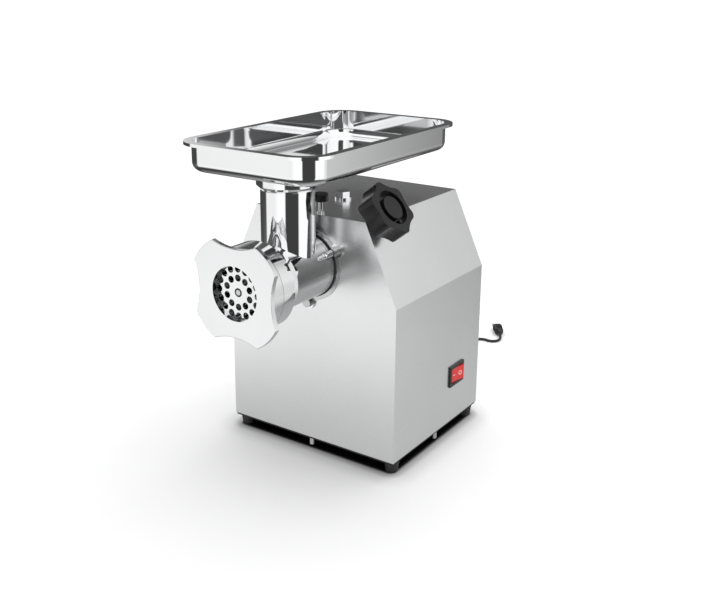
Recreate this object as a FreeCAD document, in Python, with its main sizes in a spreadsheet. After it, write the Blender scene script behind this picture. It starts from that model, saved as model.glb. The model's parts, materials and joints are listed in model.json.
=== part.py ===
import FreeCAD, Part
import math
import os
import Sketcher
from FreeCAD import Placement, Rotation, Vector

# Electric meat grinder with a sheet-steel body, a screw-fed head and a loading tray.
# Frame: millimetres, +Z up, floor at Z = 0, X = 0 on the symmetry plane.
# The grinding head points to -Y, and Y = 0 is half way between the head's nose and the rear panel.

os.makedirs("parts", exist_ok=True)
doc = FreeCAD.newDocument("meat_grinder")

# ---------------------------------------------------------------- driving dimensions
DIMENSIONS = {
    # body casing
    "half_width": 110.0, "front_face": -35.0, "rear_face": 158.0, "casing_low": 15.0,
    "fold_low": 189.5, "casing_top": 276.0, "top_half_width": 71.5, "sheet": 1.2, "panel": 1.5,
    # grinding head
    "axis_height": 219.5, "barrel_radius": 35.0, "barrel_rear": -37.7, "bore_radius": 26.0,
    "flare_start": -101.0, "flare_end": -119.0, "flare_radius": 45.0, "thread_radius": 42.5,
    "thread_back": -136.6, "barrel_nose": -147.0, "spigot_radius": 30.9, "spigot_rear": -6.0,
    "neck_y": -71.0, "neck_radius": 28.4, "neck_bore": 25.0, "neck_top": 328.6, "neck_rim": 32.4,
    "plate_radius": 35.0, "plate_front": -152.0, "plate_back": -144.2,
    "nut_front": -158.0, "nut_back": -137.0, "nut_plate": 5.6, "nut_lobe": 58.0, "nut_notch": 45.0, "outlet_radius": 28.2,
    # tray
    "tray_floor": 329.0, "tray_rim": 360.0, "tray_half_width": 80.4, "tray_front": -141.0,
    "tray_rear": 131.0, "tray_flange": 8.0, "tray_corner": 26.0, "tray_edge": 10.0,
    # gear train
    "coarse_module": 2.0, "fine_module": 1.5, "output_teeth": 46.0, "second_teeth": 20.0,
    "first_teeth": 52.0, "motor_teeth": 16.0, "output_shaft": 14.0, "second_shaft": 8.0,
    "motor_shaft": 8.0, "stator_radius": 56.0, "rotor_radius": 31.5,
    # controls and feet
    "knob_angle": 38.0, "knob_y": -15.0, "knob_back": 96.0, "knob_radius": 30.0, "knob_depth": 20.5,
    "pin_x": 11.0, "pin_y": -29.0, "switch_y": 102.0, "switch_height": 71.5,
    "foot_x": 101.0, "foot_front": -23.0, "foot_rear": 146.0,
    # lead
    "lead_diameter": 3.6,
}


class Size:
    """A number together with the sheet expression that gives it."""

    def __init__(self, value, text=None):
        self.value = float(value)
        self.text = text if text is not None else repr(float(value))

    def join(self, other, sign, value):
        return Size(value, "(%s %s %s)" % (self.text, sign, other.text))

    def __add__(self, other):
        other = as_size(other)
        return self.join(other, "+", self.value + other.value)

    def __radd__(self, other):
        return as_size(other) + self

    def __sub__(self, other):
        other = as_size(other)
        return self.join(other, "-", self.value - other.value)

    def __rsub__(self, other):
        return as_size(other) - self

    def __mul__(self, other):
        other = as_size(other)
        return self.join(other, "*", self.value * other.value)

    def __rmul__(self, other):
        return as_size(other) * self

    def __truediv__(self, other):
        other = as_size(other)
        return self.join(other, "/", self.value / other.value)

    def __neg__(self):
        return as_size(0) - self


def as_size(number):
    return number if isinstance(number, Size) else Size(number)


class Dimensions:
    """The spreadsheet's cells by name."""


sheet = doc.addObject("Spreadsheet::Sheet", "Sizes")
D = Dimensions()
for row, (alias, number) in enumerate(DIMENSIONS.items(), start=1):
    sheet.set("A%d" % row, alias)
    sheet.set("B%d" % row, "%s" % number)
    sheet.setAlias("B%d" % row, alias)
    setattr(D, alias, Size(number, "Sizes." + alias))
doc.recompute()

PARTS = {}
TURN_Y = Rotation(Vector(1, 0, 0), -90)   # local Z to global +Y
UPRIGHT = Rotation()


def bind(feature, **sizes):
    for prop, size in sizes.items():
        feature.setExpression(prop.replace("__", "."), as_size(size).text)


def put(feature, x, y, z, rotation=UPRIGHT):
    """Places a feature, with the base bound to the sheet."""
    x, y, z = as_size(x), as_size(y), as_size(z)
    feature.Placement = Placement(Vector(x.value, y.value, z.value), rotation)
    bind(feature, Placement__Base__x=x, Placement__Base__y=y, Placement__Base__z=z)
    return feature


def part(feature, node):
    """Names a finished sub-part: the label is also its file's name."""
    feature.Label = node
    PARTS[node] = feature
    return feature


def box(name, x0, x1, y0, y1, z0, z1):
    feature = doc.addObject("Part::Box", name)
    bind(feature, Length=as_size(x1) - x0, Width=as_size(y1) - y0, Height=as_size(z1) - z0)
    return put(feature, x0, y0, z0)


def rod_y(name, radius, y0, y1, x=0, z=D.axis_height):
    feature = doc.addObject("Part::Cylinder", name)
    bind(feature, Radius=radius, Height=as_size(y1) - y0)
    return put(feature, x, y0, z, TURN_Y)


def rod_z(name, radius, z0, z1, x=0, y=0):
    feature = doc.addObject("Part::Cylinder", name)
    bind(feature, Radius=radius, Height=as_size(z1) - z0)
    return put(feature, x, y, z0)


def cone_z(name, radius_low, radius_high, z0, z1, x=0, y=0):
    feature = doc.addObject("Part::Cone", name)
    bind(feature, Radius1=radius_low, Radius2=radius_high, Height=as_size(z1) - z0)
    return put(feature, x, y, z0)


def fuse(name, pieces):
    feature = doc.addObject("Part::MultiFuse", name)
    feature.Shapes = pieces
    feature.Refine = True
    return feature


def cut(name, base, tools):
    tool = tools[0] if len(tools) == 1 else fuse(name + "_tools", tools)
    feature = doc.addObject("Part::Cut", name)
    feature.Base = base
    feature.Tool = tool
    return feature


def group(name, pieces):
    """Separate solids kept together in one node."""
    feature = doc.addObject("Part::Compound", name)
    feature.Links = pieces
    return feature


def solid(name, shape, x=0, y=0, z=0, rotation=UPRIGHT):
    """A piece whose outline neither sketches nor primitives give."""
    feature = doc.addObject("Part::Feature", name)
    feature.Shape = shape
    return put(feature, x, y, z, rotation)


def origin_plane(body, role):
    for feature in body.Origin.OriginFeatures:
        if feature.Role == role:
            return feature
    raise ValueError(role)


def hold(sketch, geometry, point, coordinate, kind):
    """Fixes one coordinate of a sketch point to its size."""
    if abs(coordinate.value) < 1e-9:
        axis = -2 if kind == "DistanceX" else -1
        sketch.addConstraint(Sketcher.Constraint("PointOnObject", geometry, point, axis))
        return
    number = sketch.addConstraint(Sketcher.Constraint(kind, -1, 1, geometry, point, coordinate.value))
    sketch.setExpression("Constraints[%d]" % number, coordinate.text)


def add_outline(sketch, corners):
    corners = [(as_size(a), as_size(b)) for a, b in corners]
    first = sketch.GeometryCount
    count = len(corners)
    for index in range(count):
        a, b = corners[index], corners[(index + 1) % count]
        start, end = Vector(a[0].value, a[1].value, 0), Vector(b[0].value, b[1].value, 0)
        sketch.addGeometry(Part.LineSegment(start, end), False)
    for index in range(count):
        after = first + (index + 1) % count
        sketch.addConstraint(Sketcher.Constraint("Coincident", first + index, 2, after, 1))
    for index, (a, b) in enumerate(corners):
        hold(sketch, first + index, 1, a, "DistanceX")
        hold(sketch, first + index, 1, b, "DistanceY")


def add_circle(sketch, a, b, radius):
    a, b, radius = as_size(a), as_size(b), as_size(radius)
    circle = Part.Circle(Vector(a.value, b.value, 0), Vector(0, 0, 1), radius.value)
    index = sketch.addGeometry(circle, False)
    number = sketch.addConstraint(Sketcher.Constraint("Radius", index, radius.value))
    sketch.setExpression("Constraints[%d]" % number, radius.text)
    hold(sketch, index, 3, a, "DistanceX")
    hold(sketch, index, 3, b, "DistanceY")


def body_with_sketch(name, plane):
    body = doc.addObject("PartDesign::Body", name)
    sketch = body.newObject("Sketcher::SketchObject", name + "_sketch")
    sketch.AttachmentSupport = [(origin_plane(body, plane), "")]
    sketch.MapMode = "FlatFace"
    return body, sketch


def turned_y(name, outline, z=D.axis_height, x=0):
    """Revolves an outline of (radius, y) corners about an axis along Y."""
    body, sketch = body_with_sketch(name, "XY_Plane")
    add_outline(sketch, outline)
    turn = body.newObject("PartDesign::Revolution", name + "_turn")
    turn.Profile = sketch
    turn.ReferenceAxis = (sketch, ["V_Axis"])
    turn.Angle = 360.0
    body.Tip = turn
    return put(body, x, 0, z)


def turned_z(name, outline, x=0, y=0):
    """Revolves an outline of (radius, z) corners about an upright axis."""
    body, sketch = body_with_sketch(name, "XZ_Plane")
    add_outline(sketch, outline)
    turn = body.newObject("PartDesign::Revolution", name + "_turn")
    turn.Profile = sketch
    turn.ReferenceAxis = (sketch, ["V_Axis"])
    turn.Angle = 360.0
    body.Tip = turn
    return put(body, x, y, 0)


def plate_y(name, outline, y0, y1, circles=()):
    """A flat plate in the XZ plane between y0 and y1, with round holes."""
    body, sketch = body_with_sketch(name, "XZ_Plane")
    add_outline(sketch, outline)
    for a, b, radius in circles:
        add_circle(sketch, a, b, radius)
    pad = body.newObject("PartDesign::Pad", name + "_pad")
    pad.Profile = sketch
    thickness = as_size(y1) - y0
    pad.Length = thickness.value
    pad.setExpression("Length", thickness.text)
    body.Tip = pad
    return put(body, 0, y1, 0)


def polar(radius, degrees):
    angle = math.radians(degrees)
    return Vector(radius * math.cos(angle), radius * math.sin(angle), 0)


def arc3(a, b, c):
    return Part.Arc(a, b, c).toShape()


def edge(a, b):
    return Part.LineSegment(a, b).toShape()


def prism(edges, height):
    face = Part.Face(Part.Wire(edges))
    return face.extrude(Vector(0, 0, height))


# ---------------------------------------------------------------- casing
def casing_outline(inset):
    """The body's front view, moved inwards by a wall thickness."""
    slope = math.hypot(38.5, 86.5)
    low = D.half_width - inset
    lean = (D.half_width - D.top_half_width) / (D.casing_top - D.fold_low)
    shift = as_size(inset) * (slope / 86.5)
    top = D.casing_top - inset
    knee = D.fold_low + (as_size(inset) - shift) * (86.5 / 38.5)
    reach = D.top_half_width - shift + lean * inset
    return [(-low, D.casing_low), (low, D.casing_low), (low, knee),
            (reach, top), (-reach, top), (-low, knee)]


def casing():
    outline = casing_outline(0)
    front = plate_y("front_sheet", outline, D.front_face, D.front_face + D.panel,
                    [(0, D.axis_height, 36.1)] + [(polar(43, a).x, D.axis_height + polar(43, a).y, 3.1)
                                                  for a in (30, 150, 270)])
    part(front, "front_panel")

    y0, y1 = D.front_face + D.panel, D.rear_face - D.panel
    outer = plate_y("wrap_outer", outline, y0, y1)
    hollow = casing_outline(D.sheet)
    hollow[0] = (hollow[0][0], D.casing_low - 5)
    hollow[1] = (hollow[1][0], D.casing_low - 5)
    inner = plate_y("wrap_inner", hollow, y0 - 5, y1 + 5)
    switch_hole = box("switch_hole", 100, 120, D.switch_y - 14.6, D.switch_y + 14.6,
                      D.switch_height - 10.9, D.switch_height + 10.9)
    pin_hole = rod_z("pin_hole", 4.05, 250, 290, D.pin_x, D.pin_y)
    plug_hole = rod_z("plug_hole", 6.3, 250, 290, -8, 41)
    stud_hole = radial_rod("stud_hole", 6.0, 60, 110)
    wrap = cut("wrap", outer, [inner, switch_hole, pin_hole, plug_hole, stud_hole])
    part(wrap, "wrap_cover")

    rear = plate_y("rear_sheet", outline, D.rear_face - D.panel, D.rear_face,
                   [(GLAND_X, GLAND_Z, 5.1)] + [(x, z, 1.7) for x, z in REAR_SCREWS])
    slots = []
    for row_number in range(7):
        for column in (-1, 0, 1):
            height = 60 + 12 * row_number
            slots.append(box("vent_%d_%d" % (row_number, column + 1), 30 * column - 11, 30 * column + 11,
                             150, 165, height, height + 5))
    part(cut("rear_vented", rear, slots), "rear_panel")

    screws = []
    for number, (x, z) in enumerate(REAR_SCREWS):
        head = rod_y("rear_screw_head_%d" % number, 3.0, D.rear_face, D.rear_face + 1.8, x, z)
        shank = rod_y("rear_screw_shank_%d" % number, 1.6, D.rear_face - 8, D.rear_face, x, z)
        screws.append(fuse("rear_screw_%d" % number, [head, shank]))
    part(group("rear_screw_set", screws), "rear_panel_screws")


def radial_rod(name, radius, t0, t1):
    """A round bar square to the barrel axis, along the locking knob's line."""
    feature = doc.addObject("Part::Cylinder", name)
    bind(feature, Radius=radius, Height=as_size(t1) - t0)
    angle = math.radians(D.knob_angle.value)
    return put(feature, as_size(t0) * math.cos(angle), D.knob_y,
               D.axis_height + as_size(t0) * math.sin(angle), knob_turn())


def knob_turn():
    """Local Z along the knob's line, local Y up the knob's face."""
    angle = math.radians(D.knob_angle.value)
    along = Vector(math.cos(angle), 0, math.sin(angle))
    upward = Vector(-math.sin(angle), 0, math.cos(angle))
    return Rotation(Vector(0, 1, 0), upward, along, "ZYX")


GLAND_X, GLAND_Z = -20.0, 30.0
REAR_SCREWS = [(-100, 30), (100, 30), (-100, 170), (100, 170), (-62, 266), (62, 266)]


def base():
    plate = box("base_sheet", -(D.half_width - 1), D.half_width - 1, D.front_face + 1, D.rear_face - 1,
                D.casing_low - 2.5, D.casing_low)
    holes = []
    for column in range(6):
        holes.append(box("base_vent_%d" % column, -42 + 15 * column, -35 + 15 * column, 70, 125, 5, 20))
    for number, (x, y) in enumerate(FEET):
        holes.append(rod_z("foot_hole_%d" % number, 2.1, 5, 20, x, y))
    part(cut("base_vented", plate, holes), "base_plate")

    feet, screws = [], []
    for number, (x, y) in enumerate(FEET):
        rubber = cone_z("foot_cone_%d" % number, 6.6, 8.4, 0, D.casing_low - 2.5, x, y)
        recess = rod_z("foot_recess_%d" % number, 4.2, -1, 6, x, y)
        bore = rod_z("foot_bore_%d" % number, 2.1, -1, 20, x, y)
        feet.append(cut("foot_body_%d" % number, rubber, [recess, bore]))
        head = rod_z("foot_screw_head_%d" % number, 3.8, 3.6, 6, x, y)
        shank = rod_z("foot_screw_shank_%d" % number, 2.0, 6, 20, x, y)
        screws.append(fuse("foot_screw_%d" % number, [head, shank]))
    part(group("foot_set", feet), "rubber_feet")
    part(group("foot_screw_set", screws), "foot_screws")

    screws = []
    middle = (D.front_face.value + D.rear_face.value) / 2
    places = [(0, D.front_face.value + 4), (D.half_width.value - 4, middle),
              (0, D.rear_face.value - 4), (4 - D.half_width.value, middle)]
    for number, (x, y) in enumerate(places):
        screws.append(rod_z("base_screw_%d" % number, 2.9, 5, D.casing_low - 2.5, x, y))
    part(group("base_screw_set", screws), "base_screws")


FEET = [(D.foot_x, D.foot_front), (-D.foot_x, D.foot_front), (D.foot_x, D.foot_rear), (-D.foot_x, D.foot_rear)]


# ---------------------------------------------------------------- head socket
def socket():
    tube = turned_y("socket_tube", [
        (D.spigot_radius + 0.05, -36.2), (40.4, -36.2), (40.4, D.front_face), (36, D.front_face), (36, -6),
        (46, -6), (46, 2), (20.05, 2), (20.05, -4), (D.spigot_radius + 0.05, -4)])
    boss = radial_rod("knob_boss", 8.4, 33, 62)
    bore = radial_rod("knob_bore", 5.05, 20, 70)
    pin_bore = rod_z("pin_bore", 2.35, 230, 262, D.pin_x, D.pin_y)
    socket_solid = fuse("socket_solid", [tube, boss])
    part(cut("socket_drilled", socket_solid, [bore, pin_bore]), "head_socket")

    part(turned_y("gasket", [(33.2, -37.6), (36, -37.6), (36, -36.2), (33.2, -36.2)]), "socket_gasket")

    screws, washers = [], []
    for number, degrees in enumerate((30, 150, 270)):
        spot = polar(43, degrees)
        z = D.axis_height + spot.y
        ring = rod_y("washer_disc_%d" % number, 7.2, -37.6, D.front_face, spot.x, z)
        hole = rod_y("washer_hole_%d" % number, 3.1, -40, -30, spot.x, z)
        keep = rod_y("washer_trim_%d" % number, 40.45, -45, -30)
        washers.append(cut("washer_%d" % number, ring, [hole, keep]))
        head = rod_y("socket_screw_head_%d" % number, 4.9, -41, -37.6, spot.x, z)
        shank = rod_y("socket_screw_shank_%d" % number, 2.5, -37.6, -29, spot.x, z)
        screws.append(fuse("socket_screw_%d" % number, [head, shank]))
    part(group("washer_set", washers), "socket_washers")
    part(group("socket_screw_set", screws), "socket_screws")


# ---------------------------------------------------------------- grinding head
def barrel():
    skin = turned_y("barrel_skin", [
        (0, D.barrel_nose), (D.thread_radius, D.barrel_nose), (D.thread_radius, D.thread_back),
        (D.flare_radius, D.thread_back), (D.flare_radius, D.flare_end), (D.barrel_radius, D.flare_start),
        (D.barrel_radius, D.barrel_rear), (D.spigot_radius, D.barrel_rear), (D.spigot_radius, D.spigot_rear),
        (0, D.spigot_rear)])
    neck = turned_z("neck_skin", [
        (0, D.axis_height), (D.neck_radius, D.axis_height), (D.neck_radius, 309.5), (D.neck_radius - 0.8, 310.2),
        (D.neck_rim, 314.5), (D.neck_rim, D.neck_top), (0, D.neck_top)], 0, D.neck_y)
    boss_rod = rod_y("boss_rod", 4.1, -52, -42, polar(37.6, 30).x, D.axis_height + polar(37.6, 30).y)
    boss_end = doc.addObject("Part::Sphere", "boss_end")
    bind(boss_end, Radius=4.1)
    put(boss_end, polar(37.6, 30).x, -52, D.axis_height + polar(37.6, 30).y)
    outer = fuse("barrel_outer", [skin, neck, boss_rod, boss_end])
    bore = turned_y("barrel_bore", [
        (0, -160), (D.plate_radius + 0.1, -160), (D.plate_radius + 0.1, -133), (D.bore_radius, -133),
        (D.bore_radius, -20), (10, -20), (10, 0), (0, 0)])
    throat = rod_z("neck_throat", D.neck_bore, D.axis_height, 340, 0, D.neck_y)
    slot = box("pin_slot", D.pin_x - 2.7, D.pin_x + 2.7, D.pin_y - 2.7, 0, D.axis_height + 24.5, 262)
    key_seat = box("key_seat", -2.05, 2.05, -150, -139, D.axis_height - 39, D.axis_height - 33)
    part(cut("barrel", outer, [bore, throat, slot, key_seat]), "head_barrel")
    part(box("key", -2, 2, -146.9, -139.1, D.axis_height - 37.6, D.axis_height - 33.4), "plate_key")


def auger():
    root, crest, pitch = 11.0, 25.4, 32.0
    first, last = -129.5, -23.0
    core = turned_y("auger_core_sketch", [
        (0, -152.2), (2.8, -152.2), (2.8, -144), (6, -144), (6, -134), (12, -134), (13.5, -24), (16, -22.4),
        (9.95, -22.4), (9.95, -6.4), (0, -6.4)])
    helix = Part.makeHelix(pitch, last - first, root - 1.0)
    corners = [Vector(root - 1.5, 0, -4.5), Vector(crest, 0, -1.8), Vector(crest, 0, 1.8),
               Vector(root - 1.5, 0, 4.5)]
    profile = Part.makePolygon(corners + corners[:1])
    flight = Part.Wire(helix).makePipeShell([profile], True, True)
    screw_flight = solid("auger_flight", flight, 0, first, D.axis_height, TURN_Y)
    trim = rod_y("auger_trim", crest + 5, -132.5, -20)
    kept = doc.addObject("Part::Common", "auger_flight_kept")
    kept.Base = screw_flight
    kept.Tool = trim
    tail = box("auger_tail", -6.5, 6.5, -6.4, 11, D.axis_height - 6.5, D.axis_height + 6.5)
    seat = box("auger_seat", -6, 6, -144, -134, D.axis_height - 6, D.axis_height + 6)
    part(fuse("auger_solid", [core, kept, tail, seat]), "auger")
    part(turned_y("auger_ring", [(10.05, -22.3), (17, -22.3), (17, -20.1), (10.05, -20.1)]), "thrust_washer")


def blade():
    hub = rod_y("knife_hub", 11, -144.1, -134.1)
    arms = [hub]
    for number in range(4):
        arm = doc.addObject("Part::Wedge", "knife_arm_%d" % number)
        arm.Xmin, arm.Xmax, arm.X2min, arm.X2max = 5, 32.6, 5, 32.6
        arm.Ymin, arm.Ymax = 0, 6
        arm.Zmin, arm.Zmax, arm.Z2min, arm.Z2max = -6, 6, -1.5, 6
        put(arm, 0, -144.1, D.axis_height, Rotation(Vector(0, 1, 0), 90 * number + 20))
        arms.append(arm)
    body = fuse("knife_solid", arms)
    hole = box("knife_hole", -6.05, 6.05, -150, -130, D.axis_height - 6.05, D.axis_height + 6.05)
    part(cut("knife_cut", body, [hole]), "knife")


def grinding_plate():
    disc = rod_y("plate_disc", D.plate_radius - 0.05, D.plate_front, D.plate_back)
    holes = [rod_y("plate_centre", 4.6, -160, -140)]
    for count, ring_radius, offset in ((10, 15.0, 18.0), (16, 24.2, 0.0)):
        for number in range(count):
            spot = polar(ring_radius, offset + 360.0 * number / count)
            holes.append(rod_y("plate_hole_%d_%d" % (count, number), 3.6, -160, -140,
                               spot.x, D.axis_height + spot.y))
    notch = box("plate_notch", -2.1, 2.1, -160, -140, D.axis_height - 40, D.axis_height - 33.3)
    holes.append(notch)
    part(cut("plate_drilled", disc, holes), "grinding_plate")
    part(turned_y("plate_bush_ring", [(2.9, D.plate_front + 0.5), (4.6, D.plate_front + 0.5),
                                      (4.6, D.plate_back), (2.9, D.plate_back)]), "plate_bush")


def ring_nut():
    edges = []
    for quarter in range(4):
        middle = 45 + 90 * quarter
        a, b, c = [polar(D.nut_lobe.value, middle + d) for d in (-17, 0, 17)]
        edges.append(arc3(a, b, c))
        end = polar(D.nut_lobe.value, middle + 73)
        edges.append(arc3(c, polar(D.nut_notch.value + 0.8, middle + 45), end))
    outline = prism(edges, D.nut_plate.value)
    sharp = [e for e in outline.Edges if abs(e.BoundBox.ZLength) < 1e-6]
    rounded = outline.makeFillet(0.6, sharp)
    lobed = solid("nut_lobed_plate", rounded, 0, D.nut_front, D.axis_height, TURN_Y)
    sleeve = rod_y("nut_sleeve", D.nut_notch, D.nut_front + 1, D.nut_back)
    blank = fuse("nut_blank", [lobed, sleeve])
    bore = turned_y("nut_bore", [
        (0, -170), (D.outlet_radius, -170), (D.outlet_radius, D.plate_front - 0.1),
        (D.thread_radius + 0.05, D.plate_front - 0.1), (D.thread_radius + 0.05, -130), (0, -130)])
    part(cut("nut", blank, [bore]), "ring_nut")


# ---------------------------------------------------------------- tray
def rounded_block(name, half_x, y0, y1, z0, z1, corner, low_edge):
    """A block with round upright corners and, where asked, a round lower edge."""
    block = box(name + "_block", -as_size(half_x), half_x, y0, y1, z0, z1)
    doc.recompute()
    upright = doc.addObject("Part::Fillet", name + "_corners")
    upright.Base = block
    upright.Edges = [(number + 1, corner, corner) for number, e in enumerate(block.Shape.Edges)
                     if e.BoundBox.ZLength > 1]
    if not low_edge:
        return upright
    doc.recompute()
    low = doc.addObject("Part::Fillet", name + "_low_edge")
    low.Base = upright
    floor = upright.Shape.BoundBox.ZMin
    low.Edges = [(number + 1, low_edge, low_edge) for number, e in enumerate(upright.Shape.Edges)
                 if e.BoundBox.ZMax < floor + 1e-4]
    return low


def tray():
    wall, corner, low_edge, flange = 1.2, D.tray_corner.value, D.tray_edge.value, D.tray_flange
    half, y0, y1 = D.tray_half_width, D.tray_front, D.tray_rear
    outer = rounded_block("tray_outer", half, y0, y1, D.tray_floor, D.tray_rim, corner, low_edge)
    rim = rounded_block("tray_rim_plate", half + flange, y0 - flange, y1 + flange,
                        D.tray_rim - 3.2, D.tray_rim, corner + flange.value, 0)
    under = rounded_block("tray_rim_under", half + flange - wall, y0 - flange + wall, y1 + flange - wall,
                          D.tray_rim - 6, D.tray_rim - wall, corner + flange.value - wall, 0)
    lip = cut("tray_lip", rim, [under])
    collar = rod_z("tray_collar_tube", D.neck_bore - 0.1, 306, D.tray_floor + wall, 0, D.neck_y)
    shell = fuse("tray_shell", [outer, lip, collar])
    inner = rounded_block("tray_inner", half - wall, y0 + wall, y1 - wall, D.tray_floor + wall, D.tray_rim + 9,
                          corner - wall, low_edge - wall)
    feed = rod_z("tray_feed", D.neck_bore - 1.6, 290, 345, 0, D.neck_y)
    part(cut("tray_pan", shell, [inner, feed]), "loading_tray")


# ---------------------------------------------------------------- locking knob, index pin, oil plug
def knob():
    r, back, depth = D.knob_radius.value, D.knob_back, D.knob_depth.value
    edges = []
    for lobe in range(6):
        middle = 30 + 60 * lobe
        a, b, c = polar(r - 0.7, middle - 8), polar(r, middle), polar(r - 0.7, middle + 8)
        edges.append(arc3(a, b, c))
        edges.append(arc3(c, polar(r * 0.855, middle + 30), polar(r - 0.7, middle + 52)))
    blank = prism(edges, depth)
    top = [e for e in blank.Edges if e.BoundBox.ZMin > depth - 1e-6]
    blank = blank.makeFillet(0.8, top)
    groove = Part.makeCylinder(19.4, 6, Vector(0, 0, depth - 6)).cut(
        Part.makeCylinder(13, 8, Vector(0, 0, depth - 7)))
    bead = Part.makeCylinder(2.0, 5.2, Vector(0, -16.2, depth - 6))
    shaped = blank.cut(groove).fuse(bead)
    shaped = shaped.cut(Part.makeCylinder(5.0, depth - 7, Vector(0, 0, 0)))
    angle = math.radians(D.knob_angle.value)
    part(solid("knob_shape", shaped, back * math.cos(angle), D.knob_y,
               D.axis_height + back * math.sin(angle), knob_turn()), "locking_knob")
    stud = radial_rod("knob_stud_rod", 5.0, 36.2, D.knob_back + depth - 7)
    tip = radial_rod("knob_stud_tip", 4.0, 31.2, 36.2)
    part(fuse("knob_stud_solid", [stud, tip]), "knob_stud")


def index_pin():
    x, y = D.pin_x, D.pin_y
    stem = rod_z("pin_stem", 2.3, 245.6, 294, x, y)
    collar = rod_z("pin_collar", 3.4, 259.5, 262, x, y)
    part(fuse("pin_solid", [stem, collar]), "index_pin")
    cap_outer = rod_z("pin_cap_block", 8.15, 289.4, 298, x, y)
    doc.recompute()
    cap_round = doc.addObject("Part::Fillet", "pin_cap_round")
    cap_round.Base = cap_outer
    cap_round.Edges = [(number + 1, 1.2, 1.2) for number, e in enumerate(cap_outer.Shape.Edges)
                       if e.BoundBox.ZLength < 0.01]
    part(cut("pin_cap_bored", cap_round, [rod_z("pin_cap_bore", 2.3, 280, 294, x, y)]), "pin_cap")
    part(turned_z("guide_tube", [(2.35, 275), (2.35, 278.6), (4.0, 278.6), (4.0, 256.6), (3.6, 256.6),
                                 (3.6, 275)], x, y), "pin_guide")
    part(turned_z("spring_tube", [(2.5, 262.05), (3.4, 262.05), (3.4, 274.95), (2.5, 274.95)], x, y),
         "pin_spring")


def oil_plug():
    hexagon = doc.addObject("Part::Prism", "plug_hex")
    hexagon.Polygon = 6
    bind(hexagon, Circumradius=8.4, Height=6.5)
    put(hexagon, -8, 41, 278.5)
    flange = rod_z("plug_flange", 9.5, D.casing_top, 278.5, -8, 41)
    shank = rod_z("plug_shank", 5.9, 262.5, D.casing_top, -8, 41)
    part(fuse("plug_solid", [hexagon, flange, shank]), "oil_plug")


# ---------------------------------------------------------------- gear train
SECOND_Z = D.axis_height - D.coarse_module * (D.output_teeth + D.second_teeth) / 2
MOTOR_Z = SECOND_Z - D.fine_module * (D.first_teeth + D.motor_teeth) / 2


def gear_shape(teeth, module, width, bore, first_tooth, slack=0.16):
    """A spur gear along Z, with one tooth centred on the angle first_tooth (degrees)."""
    teeth = int(teeth.value)
    module = module.value
    pressure = math.radians(20)
    pitch_radius = module * teeth / 2
    base_radius = pitch_radius * math.cos(pressure)
    tip_radius, root_radius = pitch_radius + module, pitch_radius - 1.25 * module
    half_tooth = math.pi / (2 * teeth) - slack / (2 * pitch_radius)
    roll = math.tan(pressure) - pressure

    def half_angle(radius):
        opening = math.acos(min(1.0, base_radius / radius))
        return half_tooth + roll - (math.tan(opening) - opening)

    low = max(base_radius, root_radius)
    radii = [low + (tip_radius - low) * step / 5 for step in range(6)]
    flank = [(radius, half_angle(radius)) for radius in radii]
    if root_radius < base_radius:
        flank.insert(0, (root_radius, half_angle(base_radius)))
    points = []
    for tooth in range(teeth):
        middle = math.radians(first_tooth) + 2 * math.pi * tooth / teeth
        points += [(radius, middle - half) for radius, half in flank]
        points += [(radius, middle + half) for radius, half in reversed(flank)]
    corners = [Vector(radius * math.cos(a), radius * math.sin(a), 0) for radius, a in points]
    outline = Part.Face(Part.makePolygon(corners + corners[:1]))
    blank = outline.extrude(Vector(0, 0, width))
    return blank.cut(Part.makeCylinder(bore, width + 2, Vector(0, 0, -1)))


def gear_train():
    # Turning local Z to +Y sends local Y to -Z, so an angle of -90 points up.
    up, down = -90.0, 90.0
    output = gear_shape(D.output_teeth, D.coarse_module, 12, 14, down + 180.0 / D.output_teeth.value)
    windows = [Part.makeCylinder(9, 20, polar(29, 45 + 90 * n) + Vector(0, 0, -2)) for n in range(4)]
    output = output.cut(Part.makeCompound(windows))
    part(solid("output_gear_shape", output, 0, 16, D.axis_height, TURN_Y), "output_gear")
    pinion = gear_shape(D.second_teeth, D.coarse_module, 14, 8, up)
    part(solid("second_pinion_shape", pinion, 0, 15, SECOND_Z, TURN_Y), "intermediate_pinion")
    wheel = gear_shape(D.first_teeth, D.fine_module, 10, 8, down + 180.0 / D.first_teeth.value)
    part(solid("first_wheel_shape", wheel, 0, 33, SECOND_Z, TURN_Y), "intermediate_gear")
    driver = gear_shape(D.motor_teeth, D.fine_module, 12, 8, up)
    part(solid("motor_pinion_shape", driver, 0, 32, MOTOR_Z, TURN_Y), "motor_pinion")

    part(rod_y("second_shaft_rod", D.second_shaft, 5, 50.8, 0, SECOND_Z), "intermediate_shaft")
    shaft = turned_y("output_shaft_rod", [(0, -4.8), (D.output_shaft, -4.8), (D.output_shaft, 30), (10, 30),
                                          (10, 50.8), (0, 50.8)])
    square = box("drive_square", -6.55, 6.55, -8, 12.5, D.axis_height - 6.55, D.axis_height + 6.55)
    part(cut("output_shaft_cut", shaft, [square]), "output_shaft")

    part(ring("output_bearing_ring", 14.05, 25, 3, 12, D.axis_height), "output_front_bearing")
    part(ring("output_rear_ring", 10.05, 17.5, 47.2, 51, D.axis_height), "output_rear_bearing")
    part(group("second_bearings", [ring("second_bearing_front", 8.05, 15, 5, 10, SECOND_Z),
                                   ring("second_bearing_rear", 8.05, 15, 46, 51, SECOND_Z)]),
         "intermediate_bearings")
    part(ring("seal_ring", 14.05, 20, -3.8, 1.8, D.axis_height), "oil_seal")


def ring(name, inner, outer, y0, y1, z):
    return turned_y(name, [(inner, y0), (outer, y0), (outer, y1), (inner, y1)], z)


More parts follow.
